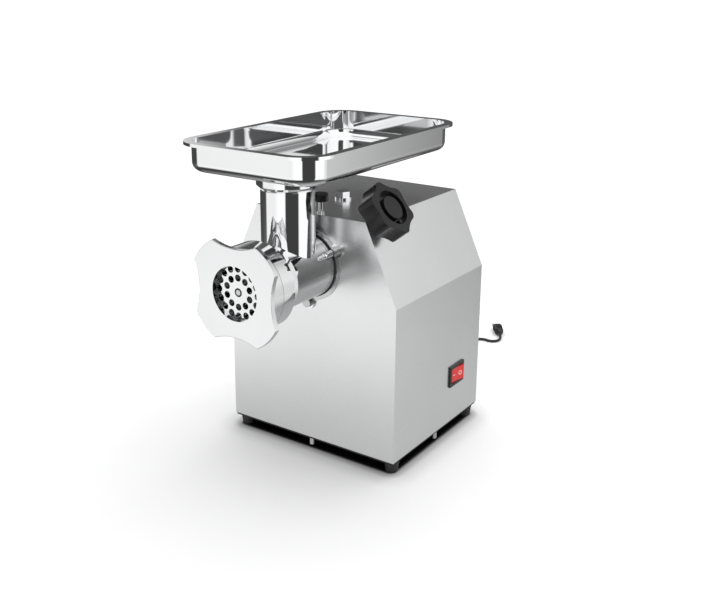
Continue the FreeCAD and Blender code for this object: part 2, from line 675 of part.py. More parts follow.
def hull_prism(name, grow, y0, y1):
    """The gearbox outline: circles about the three shafts joined by their tangents."""
    heights = [D.axis_height.value, SECOND_Z.value, MOTOR_Z.value]
    radii = [49.4 + grow, 43.0 + grow, 17.0 + grow]
    tangents = []
    for upper in (0, 1):
        gap = heights[upper] - heights[upper + 1]
        tangents.append(math.asin((radii[upper] - radii[upper + 1]) / gap))

    def touch(circle, lean, side):
        return Vector(side * radii[circle] * math.cos(lean), heights[circle] - radii[circle] * math.sin(lean), 0)

    first, second = tangents
    right = [touch(0, first, 1), touch(1, first, 1), touch(1, second, 1), touch(2, second, 1)]
    left = [touch(0, first, -1), touch(1, first, -1), touch(1, second, -1), touch(2, second, -1)]
    knee = (first + second) / 2
    edges = [
        arc3(left[0], Vector(0, heights[0] + radii[0], 0), right[0]), edge(right[0], right[1]),
        arc3(right[1], touch(1, knee, 1), right[2]), edge(right[2], right[3]),
        arc3(right[3], Vector(0, heights[2] - radii[2], 0), left[3]), edge(left[3], left[2]),
        arc3(left[2], touch(1, knee, -1), left[1]), edge(left[1], left[0])]
    # The outline has height as local Y, so the quarter turn stands it up, with its thickness to -Y.
    return solid(name, prism(edges, y1 - y0), 0, y1, 0, Rotation(Vector(1, 0, 0), 90))


def gearbox():
    shell = hull_prism("gearbox_outer", 3.4, 2, 47)
    hollow = hull_prism("gearbox_hollow", 0, 7, 60)
    boss_a = rod_y("gearbox_boss_output", 30, 2, 14)
    boss_b = rod_y("gearbox_boss_second", 19, 2, 13.5, 0, SECOND_Z)
    plug_boss = rod_z("gearbox_plug_boss", 10, 255, 274.6, -8, 41)
    walls = cut("gearbox_walls", shell, [hollow])
    with_bosses = fuse("gearbox_with_bosses", [walls, boss_a, boss_b, plug_boss])
    seat_a = rod_y("gearbox_seat_output", 25, 3, 12)
    seat_b = rod_y("gearbox_seat_second", 15, 5, 20, 0, SECOND_Z)
    through = rod_y("gearbox_through", 14.6, -5, 20)
    plug_bore = rod_z("gearbox_plug_bore", 5.95, 240, 280, -8, 41)
    part(cut("gearbox_casing_cut", with_bosses, [seat_a, seat_b, through, plug_bore]), "gearbox_casing")

    lid = hull_prism("gearbox_lid", 3.4, 47.1, 53)
    part(cut("gearbox_cover_cut", lid, [
        rod_y("cover_seat_output", 17.5, 40, 51), rod_y("cover_seat_second", 15, 40, 51, 0, SECOND_Z),
        rod_y("cover_motor_hole", 9, 40, 60, 0, MOTOR_Z), rod_z("cover_plug_notch", 10.1, 240, 280, -8, 41)]),
        "gearbox_cover")


# ---------------------------------------------------------------- motor
def motor():
    stack = rod_y("stator_stack", D.stator_radius, 66, 120, 0, MOTOR_Z)
    bore = rod_y("stator_bore", D.rotor_radius + 0.5, 60, 130, 0, MOTOR_Z)
    slots = []
    for number in range(12):
        spot = polar(38, 30 * number)
        slots.append(rod_y("stator_slot_%d" % number, 5.5, 60, 130, spot.x, MOTOR_Z + spot.y))
    part(cut("stator_cut", stack, [bore] + slots), "motor_stator")

    coils = []
    for label, y0, y1 in (("front", 60, 65.9), ("rear", 120.1, 126)):
        coils.append(ring("winding_" + label, 34, 48, y0, y1, MOTOR_Z))
    part(group("winding_set", coils), "motor_windings")

    part(bell("front", 53.1, 57, 66), "motor_front_bell")
    part(bell("rear", 133, 129, 120), "motor_rear_bell")
    part(rod_y_with_bore("rotor_core", D.rotor_radius, 66, 120), "motor_rotor")
    part(rod_y("motor_shaft_rod", D.motor_shaft, 31, 147, 0, MOTOR_Z), "motor_shaft")
    part(group("motor_bearing_pair", [ring("motor_bearing_a", 8.05, 16, 53.2, 59, MOTOR_Z),
                                      ring("motor_bearing_b", 8.05, 16, 127, 132.8, MOTOR_Z)]),
         "motor_bearings")

    hub = rod_y("fan_hub", 13, 136, 146, 0, MOTOR_Z)
    disc = rod_y("fan_disc", 42, 136, 137.5, 0, MOTOR_Z)
    blades = [hub, disc]
    for number in range(8):
        vane = doc.addObject("Part::Box", "fan_vane_%d" % number)
        bind(vane, Length=30, Width=9, Height=1.4)
        angle = 45 * number
        start = polar(11, angle)
        put(vane, start.x, 136.5, MOTOR_Z - start.y, Rotation(Vector(0, 1, 0), angle))
        blades.append(vane)
    fan_body = fuse("fan_solid", blades)
    part(cut("fan_bored", fan_body, [rod_y("fan_bore", D.motor_shaft, 130, 150, 0, MOTOR_Z)]), "cooling_fan")

    cradle = box("cradle_block", -48, 48, 84, 104, D.casing_low, 70)
    saddle = rod_y("cradle_saddle", D.stator_radius, 80, 110, 0, MOTOR_Z)
    window = box("cradle_window", -30, 30, 80, 110, D.casing_low + 4, 40)
    part(cut("cradle_cut", cradle, [saddle, window]), "motor_cradle")


def bell(side, back, inside, mouth):
    """A cup that closes one end of the motor and holds its bearing."""
    outer = D.stator_radius - 0.1
    outline = [(16, back), (outer, back), (outer, mouth), (outer - 4, mouth), (outer - 4, inside), (20, inside),
               (20, inside + (3 if side == "front" else -3)), (16, inside + (3 if side == "front" else -3))]
    return turned_y("bell_" + side, outline, MOTOR_Z)


def rod_y_with_bore(name, radius, y0, y1):
    return ring(name, D.motor_shaft, radius, y0, y1, MOTOR_Z)


# ---------------------------------------------------------------- switch and wiring
def switch():
    y, z = D.switch_y, D.switch_height
    flange = box("bezel_block", D.half_width, D.half_width + 2, y - 16.2, y + 16.2, z - 12.5, z + 12.5)
    housing = box("switch_block", 84, D.half_width, y - 14.3, y + 14.3, z - 10.6, z + 10.6)
    well = box("switch_well", 96, 120, y - 12.9, y + 12.9, z - 8.9, z + 8.9)
    terminals = []
    for number in range(4):
        dy, dz = (-6, 6)[number % 2], (-5, 5)[number // 2]
        terminals.append(box("switch_tab_%d" % number, 76, 84, y + dy - 3, y + dy + 3, z + dz - 0.4, z + dz + 0.4))
    body = fuse("switch_body", [flange, housing] + terminals)
    part(cut("switch_cut", body, [well]), "switch_housing")

    corners = [(110.7, -11.6), (111.6, 0), (114.6, 11.2), (114.2, 11.7), (108.2, 11.9), (102, 7), (99.5, 0),
               (102, -7), (108.2, -11.9), (110.3, -12.1)]
    points = [Vector(a, b, 0) for a, b in corners]
    rocker = prism([edge(points[n], points[(n + 1) % len(points)]) for n in range(len(points))], 16.9)
    axle = Part.makeCylinder(1.5, 17.7, Vector(109.0, 0, -0.4))
    part(solid("rocker_shape", rocker.fuse(axle).removeSplitter(), 0, y, z - 8.45), "switch_rocker")

    part(rod_y("capacitor_can", 17, 60, 118, -78, 52), "start_capacitor")
    strap = ring("capacitor_strap", 17, 18.5, 80, 92, 52)
    put(strap, -78, 0, 52)
    leg = box("capacitor_leg", -82, -74, 80, 92, D.casing_low, 34.2)
    part(fuse("capacitor_clamp_solid", [strap, leg]), "capacitor_clamp")
    part(box("terminal_base", 58, 74, 60, 104, D.casing_low, 31), "terminal_block")


# ---------------------------------------------------------------- lead
LEAD_ROUTE = [
    (-20, 182, 30), (-20, 192, 29), (-20.5, 204, 22), (-21, 215, 11), (-20.3, 228, 3), (-17.6, 242, 1.9),
    (-14.6, 256, 1.9)]
TAIL_ROUTE = [
    (-9.6, 262, 5.4), (-9.2, 274, 4.6), (-9.8, 287, 2.6), (-12, 300, 1.9), (-14, 315, 1.9), (-13, 331, 1.9),
    (-8, 346, 1.9), (-1, 358, 1.9), (4.5, 368.5, 1.9), (14, 373.4, 1.9), (24.4, 371.2, 1.9), (33.6, 376.6, 1.9),
    (36.6, 387.2, 1.9), (31, 396.6, 2.6), (24.4, 406.1, 5)]
COIL_X, COIL_Y, COIL_OUTER, COIL_INNER, COIL_TOP = -43.0, 262.0, 32.0, 9.5, 8.4


def lead_tube(name, route, node):
    """Straight runs joined by tangent arcs, swept with the lead's round section."""
    points = [Vector(*p) for p in route]
    radius = D.lead_diameter.value / 2
    edges, start = [], points[0]
    for before, corner, after in zip(points, points[1:], points[2:]):
        a, b = (before - corner), (after - corner)
        turn = math.pi - a.getAngle(b)
        shorter = min(a.Length, b.Length)
        bend = 0.45 * shorter / math.tan(turn / 2)
        print("%s bend radius %.1f mm" % (node, bend))
        a.normalize()
        b.normalize()
        enter, leave = corner + a * (0.45 * shorter), corner + b * (0.45 * shorter)
        bisector = (a + b).normalize()
        middle = corner + bisector * (bend / math.cos(turn / 2) - bend)
        edges.append(edge(start, enter))
        edges.append(arc3(enter, middle, leave))
        start = leave
    edges.append(edge(start, points[-1]))
    path = Part.Wire(edges)
    direction = points[1] - points[0]
    section = Part.Wire(Part.Circle(points[0], direction, radius).toShape())
    tube = path.makePipeShell([section], True, False)
    expected = math.pi * radius ** 2 * path.Length
    print("%s length %.1f mm, volume %.0f of %.0f" % (node, path.Length, tube.Volume, expected))
    if abs(tube.Volume / expected - 1) > 0.01:
        raise ValueError(node + " has a wrong volume")
    return part(solid(name, tube), node)


def lead():
    gland_nut = doc.addObject("Part::Prism", "gland_nut")
    gland_nut.Polygon = 6
    bind(gland_nut, Circumradius=8, Height=4)
    put(gland_nut, GLAND_X, D.rear_face, GLAND_Z, TURN_Y)
    sleeve = rod_y("gland_sleeve", 5.0, 148, D.rear_face + 4, GLAND_X, GLAND_Z)
    bore = rod_y("gland_bore", D.lead_diameter / 2 + 0.3, 140, D.rear_face + 20, GLAND_X, GLAND_Z)
    relief = doc.addObject("Part::Cone", "relief_cone")
    bind(relief, Radius1=5.0, Radius2=2.9, Height=20)
    put(relief, GLAND_X, D.rear_face + 4, GLAND_Z, TURN_Y)
    gland_solid = fuse("gland_solid", [gland_nut, sleeve, relief])
    part(cut("gland_bored", gland_solid, [bore]), "cord_gland")
    lead_tube("lead_tube", LEAD_ROUTE, "power_cord")
    coil = doc.addObject("Part::Cylinder", "coil_outer")
    bind(coil, Radius=COIL_OUTER, Height=COIL_TOP)
    put(coil, COIL_X, COIL_Y, 0)
    hole = rod_z("coil_hole", COIL_INNER, -2, COIL_TOP + 2, COIL_X, COIL_Y)
    part(cut("coil_ring", coil, [hole]), "cord_coil")
    lead_tube("tail_tube", TAIL_ROUTE, "power_cord_tail")
    plug()


def plug():
    """The plug lies on the floor, its pins pointing on along the lead's last run."""
    end, before = TAIL_ROUTE[-1], TAIL_ROUTE[-2]
    heading = math.degrees(math.atan2(end[1] - before[1], end[0] - before[0]))
    turn = Rotation(Vector(0, 0, 1), heading - 90)
    corner = turn.multVec(Vector(-7, 0, 0))
    block = doc.addObject("Part::Box", "plug_block")
    bind(block, Length=14, Width=24, Height=12)
    put(block, end[0] + corner.x, end[1] + corner.y, 0, turn)
    part(block, "plug_body")
    pins = []
    for number, side in enumerate((-4.2, 4.2)):
        foot = turn.multVec(Vector(side, 24, 0))
        pin = doc.addObject("Part::Cylinder", "plug_pin_%d" % number)
        bind(pin, Radius=2, Height=10)
        put(pin, end[0] + foot.x, end[1] + foot.y, 6, turn.multiply(TURN_Y))
        pins.append(pin)
    part(group("plug_pin_set", pins), "plug_pins")


# ---------------------------------------------------------------- build and write
def build():
    casing()
    base()
    socket()
    barrel()
    auger()
    blade()
    grinding_plate()
    ring_nut()
    tray()
    knob()
    index_pin()
    oil_plug()
    gear_train()
    gearbox()
    motor()
    switch()
    lead()
    doc.recompute()


def check_and_write():
    for feature in doc.Objects:
        if "Invalid" in feature.State or "Error" in feature.State:
            raise ValueError("%s (%s) failed" % (feature.Name, feature.Label))
    for node, feature in PARTS.items():
        shape = feature.Shape
        if shape.isNull() or not shape.isValid() or not shape.Solids:
            raise ValueError(node + " has no valid solid")
    for node, feature in PARTS.items():
        feature.Shape.exportStep("parts/%s.step" % node)
    print("%d parts written" % len(PARTS))


build()
check_and_write()
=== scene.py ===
"""Electric meat grinder: finishes, free lead, floor, lights and camera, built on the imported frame."""
import json
import math

import bmesh
import bpy
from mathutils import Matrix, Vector


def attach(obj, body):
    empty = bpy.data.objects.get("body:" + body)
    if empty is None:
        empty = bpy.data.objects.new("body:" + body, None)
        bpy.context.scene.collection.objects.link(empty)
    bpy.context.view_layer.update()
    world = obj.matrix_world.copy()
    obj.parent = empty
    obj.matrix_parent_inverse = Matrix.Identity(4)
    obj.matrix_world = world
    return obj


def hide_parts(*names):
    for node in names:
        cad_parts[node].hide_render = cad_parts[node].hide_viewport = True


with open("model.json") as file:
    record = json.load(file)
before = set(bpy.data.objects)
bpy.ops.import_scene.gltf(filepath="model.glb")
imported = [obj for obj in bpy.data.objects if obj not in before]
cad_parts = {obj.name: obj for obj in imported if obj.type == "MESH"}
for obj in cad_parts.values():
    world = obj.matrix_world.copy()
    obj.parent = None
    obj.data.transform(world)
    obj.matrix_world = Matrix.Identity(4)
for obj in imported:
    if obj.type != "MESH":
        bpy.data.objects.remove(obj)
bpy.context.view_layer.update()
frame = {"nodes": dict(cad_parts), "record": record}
scene = bpy.context.scene


# ---------------------------------------------------------------- camera
def make_camera():
    """The photograph's viewpoint."""
    data = bpy.data.cameras.new("camera")
    data.sensor_width = 36.0
    data.lens = 48.07
    data.shift_x = 0.0416
    data.shift_y = -0.0793
    data.clip_start, data.clip_end = 0.02, 300.0
    camera = bpy.data.objects.new("camera", data)
    scene.collection.objects.link(camera)
    camera.location = (0.584457, -0.824424, 0.521945)
    camera.rotation_euler = (math.radians(90 - 15.876), 0, math.radians(35.327))
    scene.camera = camera


make_camera()


# ---------------------------------------------------------------- mesh helpers
def add_object(name, data, slot, body="casing"):
    """A piece that rides on a body, with the finish of one of the record's slots."""
    piece = bpy.data.objects.new(name, data)
    scene.collection.objects.link(piece)
    data.materials.append(MATERIALS[slot])
    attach(piece, body)
    return piece


def mesh_from(mesh, name):
    """Smooth-shaded mesh data, with its faces turned outwards."""
    data = bpy.data.meshes.new(name)
    bmesh.ops.recalc_face_normals(mesh, faces=mesh.faces)
    mesh.to_mesh(data)
    mesh.free()
    for face in data.polygons:
        face.use_smooth = True
    return data


def bridge(mesh, first, second):
    """A band of faces between two closed rows of vertices."""
    for n in range(len(first)):
        m = (n + 1) % len(first)
        mesh.faces.new((first[n], first[m], second[m], second[n]))


def loft(name, rings):
    """A closed skin over rings of points, all of the same count."""
    mesh = bmesh.new()
    rows = [[mesh.verts.new(p) for p in ring] for ring in rings]
    for lower, upper in zip(rows, rows[1:]):
        bridge(mesh, lower, upper)
    mesh.faces.new(list(reversed(rows[0])))
    mesh.faces.new(rows[-1])
    return mesh_from(mesh, name)


def smooth_by_angle(piece, degrees):
    """Smooth shading that leaves edges sharper than the angle as they are."""
    with bpy.context.temp_override(object=piece, selected_editable_objects=[piece],
                                   selected_objects=[piece], active_object=piece):
        bpy.ops.object.shade_smooth_by_angle(angle=math.radians(degrees))


# ---------------------------------------------------------------- materials
def new_material(name):
    """A material, its node tree and its shader."""
    material = bpy.data.materials.new(name)
    material.use_nodes = True
    tree = material.node_tree
    return material, tree, tree.nodes["Principled BSDF"]


def noise(tree, scale, detail=3.0, stretch=(1, 1, 1)):
    """Noise in object space, so it stays on the piece as the piece moves."""
    place = tree.nodes.new("ShaderNodeTexCoord")
    mapping = tree.nodes.new("ShaderNodeMapping")
    mapping.inputs["Scale"].default_value = stretch
    texture = tree.nodes.new("ShaderNodeTexNoise")
    texture.inputs["Scale"].default_value = scale
    texture.inputs["Detail"].default_value = detail
    tree.links.new(place.outputs["Object"], mapping.inputs["Vector"])
    tree.links.new(mapping.outputs["Vector"], texture.inputs["Vector"])
    return texture.outputs["Fac"]


def spread(tree, source, low, high, from_low=0.3, from_high=0.7):
    """The source's range laid out between two values."""
    span = tree.nodes.new("ShaderNodeMapRange")
    span.inputs["From Min"].default_value = from_low
    span.inputs["From Max"].default_value = from_high
    span.inputs["To Min"].default_value = low
    span.inputs["To Max"].default_value = high
    tree.links.new(source, span.inputs["Value"])
    return span.outputs["Result"]


def bump(tree, shader, source, strength, distance):
    """Fine relief on a shader's surface."""
    relief = tree.nodes.new("ShaderNodeBump")
    relief.inputs["Strength"].default_value = strength
    relief.inputs["Distance"].default_value = distance
    tree.links.new(source, relief.inputs["Height"])
    tree.links.new(relief.outputs["Normal"], shader.inputs["Normal"])


def tinted(tree, shader, source, dark, light):
    """A base colour that drifts between two close tones."""
    tones = tree.nodes.new("ShaderNodeValToRGB")
    for element, position, colour in zip(tones.color_ramp.elements, (0.3, 0.7), (dark, light)):
        element.position = position
        element.color = (*colour, 1)
    tree.links.new(source, tones.inputs["Fac"])
    tree.links.new(tones.outputs["Color"], shader.inputs["Base Color"])


def metal(name, dark, light, rough_low, rough_high, stretch, scale, relief, depth=0.00005):
    """Bare metal: a slow drift in tone, and grain in its gloss and, where relief isn't 0, its surface."""
    material, tree, shader = new_material(name)
    shader.inputs["Metallic"].default_value = 1.0
    grain = noise(tree, scale, 4.0, stretch)
    cloud = noise(tree, 9.0, 3.0)
    tinted(tree, shader, cloud, dark, light)
    tree.links.new(spread(tree, grain, rough_low, rough_high), shader.inputs["Roughness"])
    if relief:
        bump(tree, shader, grain, relief, depth)
    return material


def plastic(name, dark, light, rough_low, rough_high, scale=900.0, relief=0.15, depth=0.00006):
    """Moulded or painted surface: a fine grain, and clouds in its tone and gloss."""
    material, tree, shader = new_material(name)
    grain = noise(tree, scale, 3.0)
    cloud = noise(tree, 40.0, 3.0)
    tinted(tree, shader, cloud, dark, light)
    tree.links.new(spread(tree, cloud, rough_low, rough_high), shader.inputs["Roughness"])
    bump(tree, shader, grain, relief, depth)
    return material


MATERIALS = {
    "satin_steel": metal("satin_steel", (0.88, 0.885, 0.89), (0.92, 0.925, 0.93), 0.268, 0.274,
                         (1, 1, 30), 55.0, 0.0),
    "polished_steel": metal("polished_steel", (0.90, 0.905, 0.91), (0.94, 0.945, 0.95), 0.025, 0.06,
                            (1, 1, 1), 30.0, 0.0),
    "nut_steel": metal("nut_steel", (0.86, 0.865, 0.87), (0.90, 0.905, 0.91), 0.10, 0.16,
                       (1, 1, 1), 50.0, 0.0),
    # Painted shade: the knife's steel is far darker than bare steel, for the shade it sits in behind the
    # plate.
    "knife_steel_painted_shade": metal("knife_steel_painted_shade", (0.10, 0.10, 0.105), (0.14, 0.14, 0.145), 0.30, 0.42,
                         (1, 18, 1), 90.0, 0.05),
    "machined_steel": metal("machined_steel", (0.62, 0.62, 0.63), (0.70, 0.70, 0.71), 0.22, 0.34,
                            (1, 18, 1), 90.0, 0.05),
    "cast_aluminium": metal("cast_aluminium", (0.50, 0.51, 0.52), (0.60, 0.61, 0.62), 0.42, 0.60,
                            (1, 1, 1), 260.0, 0.3, 0.0002),
    "black_sheet": plastic("black_sheet", (0.012, 0.012, 0.013), (0.02, 0.02, 0.021), 0.45, 0.6,
                           1400.0, 0.1),
    "black_rubber": plastic("black_rubber", (0.02, 0.02, 0.021), (0.034, 0.034, 0.036), 0.5, 0.7,
                            1100.0, 0.25),
    "black_plastic": plastic("black_plastic", (0.008, 0.008, 0.009), (0.014, 0.014, 0.016), 0.20, 0.27,
                             700.0, 0.05),
    "red_plastic": plastic("red_plastic", (0.72, 0.025, 0.02), (0.80, 0.035, 0.03), 0.2, 0.26, 500.0, 0.03),
    "white_nylon": plastic("white_nylon", (0.80, 0.79, 0.75), (0.86, 0.85, 0.82), 0.4, 0.5),
    "copper_winding": metal("copper_winding", (0.60, 0.25, 0.12), (0.72, 0.34, 0.17), 0.25, 0.4,
                            (1, 1, 1), 400.0, 0.4, 0.0003),
    "plug_brass": metal("plug_brass", (0.70, 0.56, 0.30), (0.78, 0.64, 0.36), 0.12, 0.24,
                        (1, 1, 1), 120.0, 0.03),
}
# The nut and the plate are brighter than the rest of their slot, and the knife is painted darker than bare
# steel, as painted shade for the shade it sits in behind the plate.
OWN_FINISH = {"ring_nut": "nut_steel", "grinding_plate": "nut_steel", "knife": "knife_steel_painted_shade"}


def finish_nodes():
    """Each CAD node takes the finish of its slot, and a few have one of their own."""
    for row in frame["record"]["subparts"]:
        node = frame["nodes"][row["node"]]
        material = MATERIALS[OWN_FINISH.get(row["node"], row["material_slot"])]
        if not node.data.materials:
            node.data.materials.append(material)
        for place in node.material_slots:
            place.material = material


finish_nodes()


# ---------------------------------------------------------------- lead
LEAD_RADIUS = 0.0018
COIL = Vector((-0.043, 0.262, 0))


def lead_points():
    """The route's points. Between its two stretches the coil winds inwards in a low layer, climbs, and winds
    outwards in a second layer on top."""
    points = [
        (-0.0200, 0.1820, 0.0300), (-0.0200, 0.1920, 0.0290), (-0.0205, 0.2040, 0.0220),
        (-0.0210, 0.2150, 0.0110), (-0.0203, 0.2280, 0.0030), (-0.0176, 0.2420, 0.0019)]
    per_turn, steps, first_angle, outer, pitch, low_layer = 14, 125, math.radians(-10), 0.0290, 0.0037, 0.0020
    half = steps / 2
    for step in range(steps + 1):
        angle = first_angle + 2 * math.pi * step / per_turn
        inward = min(step, steps - step) / per_turn
        radius = outer - pitch * inward
        rise = min(1.0, max(0.0, (step - half) / (0.5 * per_turn) + 0.5))
        height = low_layer + pitch * rise * rise * (3 - 2 * rise)
        points.append((COIL.x + radius * math.cos(angle), COIL.y + radius * math.sin(angle), height))
    points += [
        (-0.0131, 0.2529, 0.0057), (-0.0096, 0.2620, 0.0055), (-0.0092, 0.2740, 0.0046),
        (-0.0098, 0.2870, 0.0026), (-0.0120, 0.3000, 0.0019), (-0.0140, 0.3150, 0.0019),
        (-0.0130, 0.3310, 0.0019), (-0.0080, 0.3460, 0.0019), (-0.0020, 0.3600, 0.0019),
        (0.0020, 0.3725, 0.0019), (0.0073, 0.3780, 0.0019), (0.0147, 0.3796, 0.0019),
        (0.0220, 0.3777, 0.0019), (0.0290, 0.3820, 0.0019), (0.0316, 0.3905, 0.0019),
        (0.0291, 0.3990, 0.0027), (0.0244, 0.4061, 0.0050)]
    return points


def make_lead():
    """The lead as one smooth round curve."""
    points = lead_points()
    data = bpy.data.curves.new("power_lead", "CURVE")
    data.dimensions = "3D"
    data.bevel_depth = LEAD_RADIUS
    data.bevel_resolution = 5
    data.resolution_u = 8
    spline = data.splines.new("NURBS")
    spline.points.add(len(points) - 1)
    for place, point in zip(spline.points, points):
        place.co = (*point, 1.0)
    spline.order_u = 3
    spline.use_endpoint_u = True
    return add_object("power_lead", data, "black_rubber")


def superellipse(half_width, half_height, share, count):
    """Points round a rounded rectangle, which is the squarer the smaller share is."""
    points = []
    for n in range(count):
        angle = 2 * math.pi * n / count
        c, s = math.cos(angle), math.sin(angle)
        points.append((math.copysign(abs(c) ** share, c) * half_width,
                       math.copysign(abs(s) ** share, s) * half_height))
    return points


def oval(centre, along, half_width, half_height, power):
    """A ring of points on a rounded rectangle that stands across the level direction along."""
    side = Vector((along.y, -along.x, 0)).normalized()
    up = Vector((0, 0, 1))
    return [centre + side * a + up * b for a, b in superellipse(half_width, half_height, 2 / power, 40)]


def make_plug():
    """A moulded plug: a tapered relief, a waisted grip with ribs, and a flat face that holds the pins."""
    start, before = Vector((0.0244, 0.4061, 0)), Vector((0.0310, 0.3966, 0))
    along = (start - before).normalized()
    rings = []
    stations = [
        (-0.0010, 0.0022, 0.0022, 0.0054), (0.0000, 0.0026, 0.0026, 0.0055), (0.0020, 0.0030, 0.0030, 0.0056),
        (0.0040, 0.0038, 0.0036, 0.0058), (0.0052, 0.0052, 0.0047, 0.0059), (0.0064, 0.0060, 0.0053, 0.0060),
        (0.0080, 0.0064, 0.0056, 0.0060), (0.0100, 0.0062, 0.0054, 0.0060), (0.0108, 0.0058, 0.0050, 0.0060),
        (0.0116, 0.0062, 0.0054, 0.0060), (0.0130, 0.0061, 0.0053, 0.0060), (0.0138, 0.0057, 0.0049, 0.0060),
        (0.0146, 0.0062, 0.0054, 0.0060), (0.0160, 0.0062, 0.0055, 0.0060), (0.0168, 0.0058, 0.0051, 0.0060),
        (0.0176, 0.0065, 0.0057, 0.0060), (0.0200, 0.0068, 0.0059, 0.0060), (0.0228, 0.0069, 0.0059, 0.0060),
        (0.0236, 0.0067, 0.0057, 0.0060), (0.0240, 0.0062, 0.0052, 0.0060)]
    for distance, half_width, half_height, height in stations:
        centre = start + along * distance
        centre.z = height
        rings.append(oval(centre, along, half_width, half_height, 2.0 if distance < 0.004 else 3.2))
    plug = add_object("moulded_plug", loft("moulded_plug", rings), "black_plastic")
    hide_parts("plug_body")
    return plug


def make_tie():
    """A flat strap round the bundle of turns."""
    angle = math.radians(200)
    outwards = Vector((math.cos(angle), math.sin(angle), 0))
    across = Vector((-outwards.y, outwards.x, 0))
    middle = COIL + outwards * 0.0204
    half_width, half_height, half_band, thickness, lift = 0.0110, 0.0041, 0.0030, 0.0004, 0.0045
    share, count = 0.55, 48
    mesh = bmesh.new()
    rows = []
    for band in (-half_band, half_band):
        for grow in (0.0, thickness):
            ring = superellipse(half_width + grow, half_height + grow, share, count)
            rows.append([mesh.verts.new(middle + outwards * a + across * band + Vector((0, 0, b + lift)))
                         for a, b in ring])
    for first, second in ((0, 1), (1, 3), (3, 2), (2, 0)):
        bridge(mesh, rows[first], rows[second])
    return add_object("lead_tie", mesh_from(mesh, "lead_tie"), "black_plastic")


def make_gland():
    """The cable gland: a chamfered hexagonal nut and a ribbed relief that tapers on to the lead."""
    x, y, z = -0.020, 0.158, 0.030
    corner_radius, count = 0.0080, 48
    hexagon_end, relief_start, relief_length = 0.00405, 0.0042, 0.0198
    relief_radius, relief_taper, groove, relief_rings = 0.0049, 0.0021, 0.0006, 28
    rings = []
    for distance, radius in ((0.0000, 0.0078), (0.0034, 0.0078), (0.0040, 0.0072), (0.0041, 0.0052)):
        ring = []
        for n in range(count):
            angle = 2 * math.pi * n / count
            corner = (angle + math.pi / 6) % (math.pi / 3) - math.pi / 6
            flat = 0.866 * corner_radius / math.cos(corner)
            reach = min(radius, flat) if distance < hexagon_end else radius
            ring.append(Vector((x + reach * math.cos(angle), y + distance, z + reach * math.sin(angle))))
        rings.append(ring)
    for step in range(relief_rings):
        share = step / (relief_rings - 1)
        radius = relief_radius - relief_taper * share
        if 3 < step < 25 and step % 3 == 0:
            radius -= groove
        rings.append([Vector((x + radius * math.cos(2 * math.pi * n / count),
                              y + relief_start + relief_length * share,
                              z + radius * math.sin(2 * math.pi * n / count))) for n in range(count)])
    gland = add_object("lead_gland", loft("lead_gland", rings), "black_plastic")
    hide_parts("cord_gland")
    smooth_by_angle(gland, 35)
    return gland


# The rocker's two flat faces: a point on each in x and y, and how far x moves for each metre of y.
FRONT_FACE = (0.1107, 0.0904, 0.0776)
REAR_FACE = (0.1116, 0.1020, 0.2679)
ROCKER_MIDDLE, MARK_PROUD = 0.0715, 0.00006


def on_rocker(face, y, up):
    """A point just proud of one of the rocker's faces."""
    x, face_y, slope = face
    return (x + (y - face_y) * slope + MARK_PROUD, y, ROCKER_MIDDLE + up)


def make_marks():
    """A short bar and a ring on the rocker's face, one on each side of its pivot line."""
    start, end, half = 0.0938, 0.0988, 0.0004
    mesh = bmesh.new()
    for y, up in ((start, -half), (end, -half), (end, half), (start, half)):
        mesh.verts.new(on_rocker(FRONT_FACE, y, up))
    mesh.faces.new(mesh.verts)
    add_object("rocker_bar", mesh_from(mesh, "rocker_bar"), "white_nylon", "rocker")

    ring_y, inner, outer, count = 0.1072, 0.0018, 0.0026, 32
    turns = [2 * math.pi * n / count for n in range(count)]
    mesh = bmesh.new()
    rows = [[mesh.verts.new(on_rocker(REAR_FACE, ring_y + reach * math.cos(a), reach * math.sin(a)))
             for a in turns] for reach in (inner, outer)]
    bridge(mesh, rows[0], rows[1])
    add_object("rocker_ring", mesh_from(mesh, "rocker_ring"), "white_nylon", "rocker")


make_marks()
lead = make_lead()
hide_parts("power_cord", "cord_coil", "power_cord_tail")
plug = make_plug()
tie = make_tie()
gland = make_gland()


# ---------------------------------------------------------------- node helpers for floor and world
def ramp(tree, source, stops, smooth=True):
    """A grey scale over the source, from stops of (position, brightness)."""
    node = tree.nodes.new("ShaderNodeValToRGB")
    node.color_ramp.interpolation = "EASE" if smooth else "LINEAR"
    elements = node.color_ramp.elements
    while len(elements) < len(stops):
        elements.new(0.5)
    for element, (position, value) in zip(elements, stops):
        element.position = position
        element.color = (value, value, value, 1)
    tree.links.new(source, node.inputs["Fac"])
    return node.outputs["Color"]


def mixed(tree, factor, first, second):
    """The first colour where the factor is 0, the second where it is 1."""
    node = tree.nodes.new("ShaderNodeMix")
    node.data_type = "RGBA"
    tree.links.new(factor, node.inputs[0])
    tree.links.new(first, node.inputs[6])
    tree.links.new(second, node.inputs[7])
    return node.outputs[2]


def grey(tree, value):
    """A constant grey."""
    node = tree.nodes.new("ShaderNodeRGB")
    node.outputs[0].default_value = (value, value, value, 1)
    return node.outputs[0]


def vector_math(tree, operation, source, other=(0, 0, 0)):
    """A vector operation, with its constant second input where it has one."""
    node = tree.nodes.new("ShaderNodeVectorMath")
    node.operation = operation
    node.inputs[1].default_value = other
    tree.links.new(source, node.inputs[0])
    return node.outputs


# ---------------------------------------------------------------- floor
def stage_sheet(name, mesh, location, material):
    """A flat piece of the stage, which isn't part of the object."""
    sheet = bpy.data.objects.new(name, mesh_from(mesh, name))
    scene.collection.objects.link(sheet)
    sheet.data.materials.append(material)
    sheet.location = location
    return sheet


def fading_material(name):
    """A material with an empty node tree."""
    material = bpy.data.materials.new(name)
    material.use_nodes = True
    material.node_tree.nodes.clear()
    return material, material.node_tree


